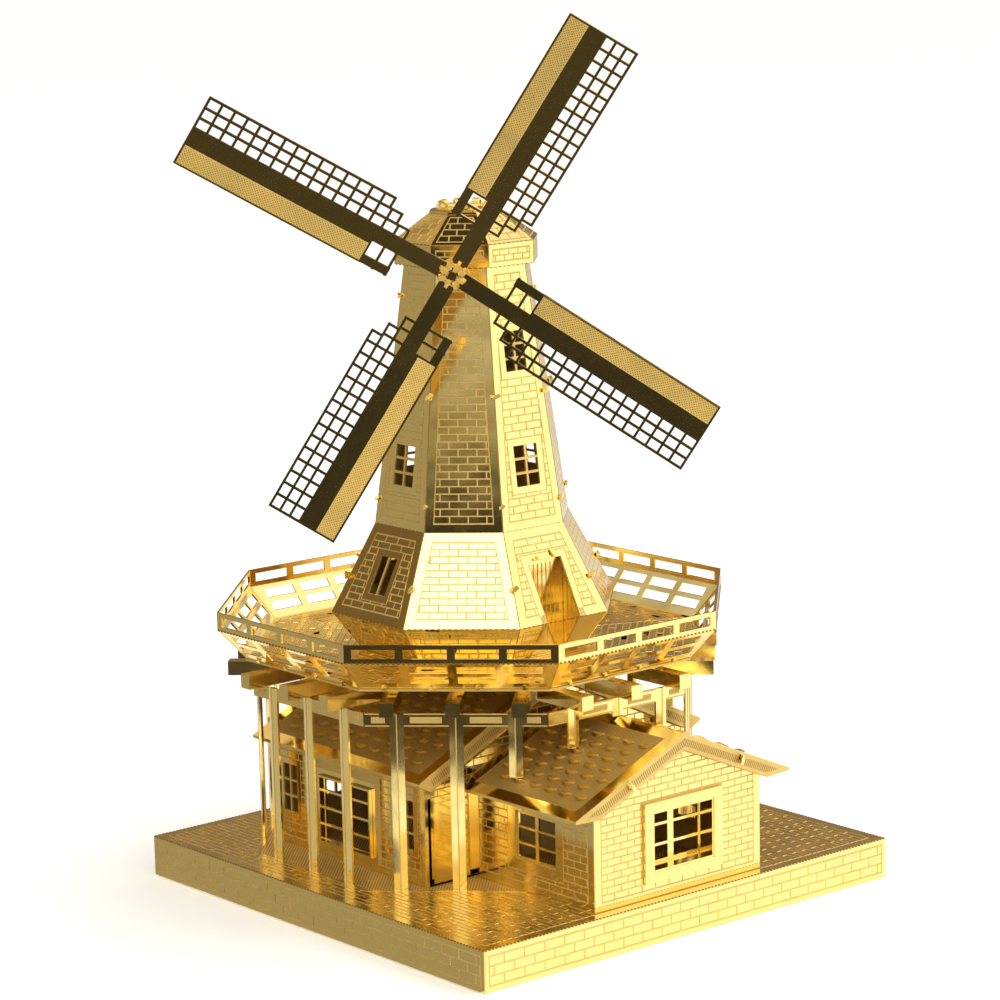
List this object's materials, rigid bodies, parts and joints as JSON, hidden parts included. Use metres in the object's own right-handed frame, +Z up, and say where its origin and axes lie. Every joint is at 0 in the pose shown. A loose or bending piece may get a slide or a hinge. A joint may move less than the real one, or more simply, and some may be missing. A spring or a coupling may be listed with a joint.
{
  "type": "windmill_model",
  "caption": "Folded and etched gold-coloured sheet-metal windmill model with turning sails, gallery, pillars and houses on a square base",
  "frame": {"origin": "centre of the overall outline seen from above, at the level of the base underside", "axes": "Z up, Y along the sides of the base, the long front wing faces -Y, the sails face the corner between -X and -Y"},
  "size_m": [0.084, 0.0794, 0.1245],
  "materials": {
    "etched_brass": "polished, with etched brick, plank and tile patterns, gold plated",
    "plain_brass": "polished, plain, gold plated"
  },
  "bodies": {
    "mill": {"base_tray": "etched_brass", "tower_door": "etched_brass", "cap_band": "etched_brass", "cap_roof": "etched_brass", "cap_top": "etched_brass", "cap_crest": "etched_brass", "deck_plate": "etched_brass", "house_walls_sw": "etched_brass", "house_walls_ne": "etched_brass", "house_door": "etched_brass", "house_bay_sw": "etched_brass", "house_bay_ne": "etched_brass", "house_roof": "etched_brass", "wing_walls": "etched_brass", "wing_front_frame": "etched_brass", "wing_front_lights": "etched_brass", "wing_window_sw": "etched_brass", "wing_window_ne": "etched_brass", "wing_roof": "etched_brass", "shaft_bearing": "plain_brass", "tower_facet_s": "etched_brass", "railing_s": "etched_brass", "joists_s": "etched_brass", "ring_s": "etched_brass", "tower_facet_se": "etched_brass", "railing_se": "etched_brass", "joists_se": "etched_brass", "ring_se": "etched_brass", "tower_facet_e": "etched_brass", "railing_e": "etched_brass", "joists_e": "etched_brass", "ring_e": "etched_brass", "tower_facet_ne": "etched_brass", "railing_ne": "etched_brass", "joists_ne": "etched_brass", "ring_ne": "etched_brass", "tower_facet_n": "etched_brass", "railing_n": "etched_brass", "joists_n": "etched_brass", "ring_n": "etched_brass", "tower_facet_nw": "etched_brass", "railing_nw": "etched_brass", "joists_nw": "etched_brass", "ring_nw": "etched_brass", "tower_facet_w": "etched_brass", "railing_w": "etched_brass", "joists_w": "etched_brass", "ring_w": "etched_brass", "tower_facet_sw": "etched_brass", "railing_sw": "etched_brass", "joists_sw": "etched_brass", "ring_sw": "etched_brass"},
    "sails": {"sail_blade_1": "etched_brass", "sail_blade_2": "etched_brass", "sail_blade_3": "etched_brass", "sail_blade_4": "etched_brass", "sail_hub": "plain_brass", "windshaft": "plain_brass", "shaft_washer": "plain_brass"}
  },
  "joints": [
    {"name": "sail_turn", "type": "hinge", "parent": "mill", "child": "sails", "pos_m": [-0.01039, -0.0091, 0.0894], "axis": [-0.7018, -0.7018, -0.1219], "continuous": true}
  ]
}
